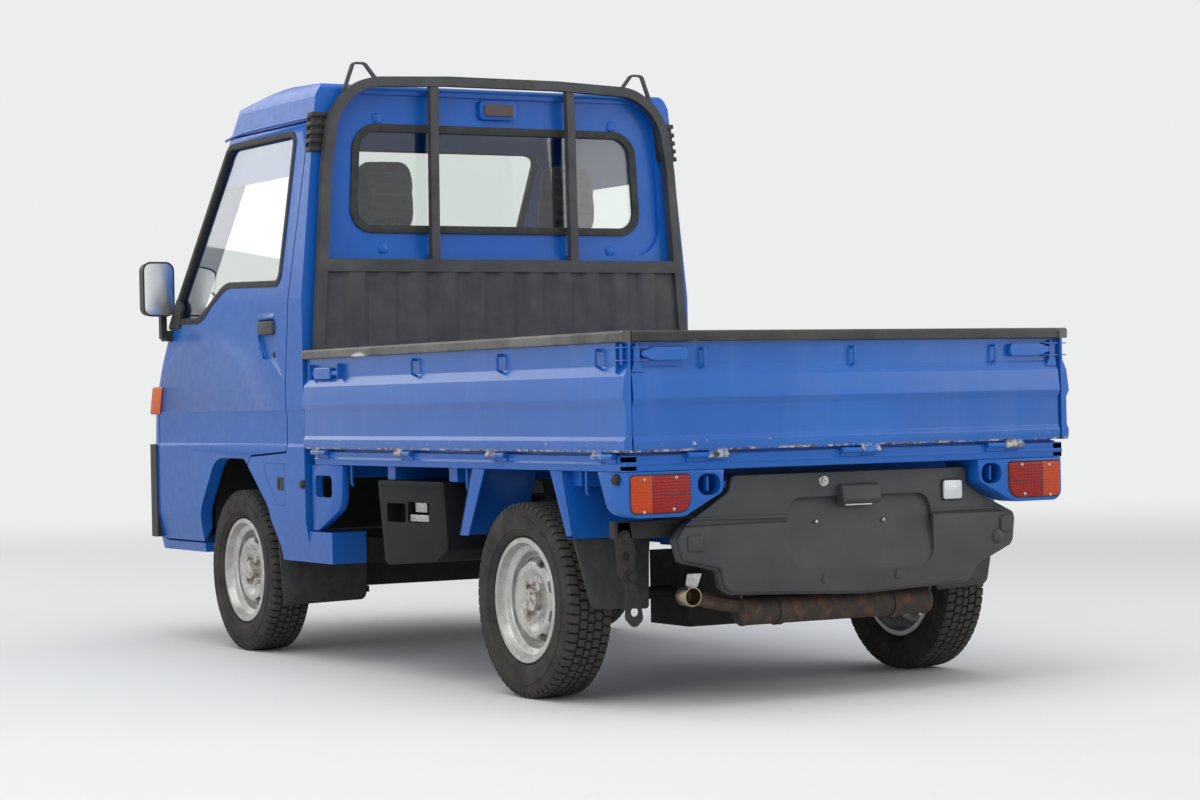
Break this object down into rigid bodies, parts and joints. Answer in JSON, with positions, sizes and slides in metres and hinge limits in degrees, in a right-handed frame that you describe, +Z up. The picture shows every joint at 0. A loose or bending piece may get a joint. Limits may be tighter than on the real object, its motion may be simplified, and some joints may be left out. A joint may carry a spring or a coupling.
{
  "type": "kei pickup truck",
  "caption": "Blue cab-over pickup with a short square cab, fold-down bed sides and tailgate, a tube rack behind the cab, steel wheels and a rear engine cover.",
  "frame": {"origin": "on the ground, under the middle of the vehicle's overall box", "axes": "+Z up, front towards -Y, the vehicle's left side towards +X"},
  "size_m": [1.596, 3.295, 1.8514],
  "materials": {
    "blue_paint": "gloss, slightly weathered",
    "glass": "clear, faint green tint",
    "black_plastic": "matt",
    "dark_plastic": "matt, grained",
    "clear_lens": "clear lens over a bright bowl",
    "seat_cloth": "woven",
    "red_lens": "moulded lens with an amber outer part",
    "rack_paint": "matt black, dusty",
    "rubber": "matt",
    "bare_steel": "matt underbody paint with surface rust",
    "rusty_steel": "rusty",
    "silver_paint": "satin, rusting at the hub",
    "tyre": "matt"
  },
  "bodies": {
    "chassis": {"cab_back": "blue_paint", "cab_floor": "blue_paint", "cab_front": "blue_paint", "cab_glass": "glass", "cab_roof": "blue_paint", "chassis_rails": "bare_steel", "cross_members": "bare_steel", "dashboard": "dark_plastic", "deck": "blue_paint", "deck_brackets": "blue_paint", "engine": "bare_steel", "exhaust": "rusty_steel", "front_axle": "bare_steel", "front_bumper": "black_plastic", "fuel_tank": "dark_plastic", "headboard": "rack_paint", "headlamps": "clear_lens", "lamp_housings": "blue_paint", "mud_flaps": "rubber", "rack": "rack_paint", "rear_axle": "bare_steel", "seat_left": "seat_cloth", "seat_right": "seat_cloth", "tail_lamps": "red_lens"},
    "knuckle_left": {"knuckle_left": "bare_steel"},
    "knuckle_right": {"knuckle_right": "bare_steel"},
    "steering": {"steering_wheel": "dark_plastic"},
    "door_left": {"door_left": "blue_paint", "door_glass_left": "glass", "mirror_left": "black_plastic"},
    "door_right": {"door_right": "blue_paint", "door_glass_right": "glass", "mirror_right": "black_plastic"},
    "side_gate_left": {"gate_left": "blue_paint", "gate_cap_left": "black_plastic"},
    "side_gate_right": {"gate_right": "blue_paint", "gate_cap_right": "black_plastic"},
    "rear_gate": {"tailgate": "blue_paint", "tailgate_cap": "black_plastic"},
    "engine_lid": {"engine_lid": "dark_plastic"},
    "wheel_front_left": {"wheel_front_left": "silver_paint", "tyre_front_left": "tyre"},
    "wheel_front_right": {"wheel_front_right": "silver_paint", "tyre_front_right": "tyre"},
    "wheel_rear_left": {"wheel_rear_left": "silver_paint", "tyre_rear_left": "tyre"},
    "wheel_rear_right": {"wheel_rear_right": "silver_paint", "tyre_rear_right": "tyre"}
  },
  "joints": [
    {"name": "steer_left", "type": "hinge", "parent": "chassis", "child": "knuckle_left", "pos_m": [0.535, -0.836, 0.19], "axis": [-0.2081, 0, 0.9781], "range_deg": [-35, 35]},
    {"name": "steer_right", "type": "hinge", "parent": "chassis", "child": "knuckle_right", "pos_m": [-0.535, -0.836, 0.19], "axis": [0.2081, 0, 0.9781], "range_deg": [-35, 35]},
    {"name": "steering_wheel_turn", "type": "hinge", "parent": "chassis", "child": "steering", "pos_m": [-0.33, -1.105, 1.01], "axis": [0, 0.6157, 0.788], "range_deg": [-600, 600]},
    {"name": "roll_front_left", "type": "hinge", "parent": "knuckle_left", "child": "wheel_front_left", "pos_m": [0.6, -0.836, 0.258], "axis": [1, 0, 0], "continuous": true},
    {"name": "roll_front_right", "type": "hinge", "parent": "knuckle_right", "child": "wheel_front_right", "pos_m": [-0.6, -0.836, 0.258], "axis": [1, 0, 0], "continuous": true},
    {"name": "roll_rear_left", "type": "hinge", "parent": "chassis", "child": "wheel_rear_left", "pos_m": [0.6, 1.049, 0.258], "axis": [1, 0, 0], "continuous": true},
    {"name": "roll_rear_right", "type": "hinge", "parent": "chassis", "child": "wheel_rear_right", "pos_m": [-0.6, 1.049, 0.258], "axis": [1, 0, 0], "continuous": true},
    {"name": "door_left_hinge", "type": "hinge", "parent": "chassis", "child": "door_left", "pos_m": [0.685, -1.489, 0.7], "axis": [0, 0, -1], "range_deg": [0, 65]},
    {"name": "door_right_hinge", "type": "hinge", "parent": "chassis", "child": "door_right", "pos_m": [-0.685, -1.489, 0.7], "axis": [0, 0, 1], "range_deg": [0, 65]},
    {"name": "side_gate_left_fold", "type": "hinge", "parent": "chassis", "child": "side_gate_left", "pos_m": [0.6895, 0.69, 0.64], "axis": [0, 1, 0], "range_deg": [0, 165]},
    {"name": "side_gate_right_fold", "type": "hinge", "parent": "chassis", "child": "side_gate_right", "pos_m": [-0.6895, 0.69, 0.64], "axis": [0, -1, 0], "range_deg": [0, 165]},
    {"name": "rear_gate_fold", "type": "hinge", "parent": "chassis", "child": "rear_gate", "pos_m": [0, 1.64, 0.64], "axis": [-1, 0, 0], "range_deg": [0, 165]},
    {"name": "engine_lid_drop", "type": "hinge", "parent": "chassis", "child": "engine_lid", "pos_m": [0, 1.564, 0.3], "axis": [1, 0, 0], "range_deg": [-60, 0]}
  ],
  "couplings": [
    {"joint": "steer_right", "follows": "steer_left", "ratio": 1},
    {"joint": "steering_wheel_turn", "follows": "steer_left", "ratio": 17}
  ]
}
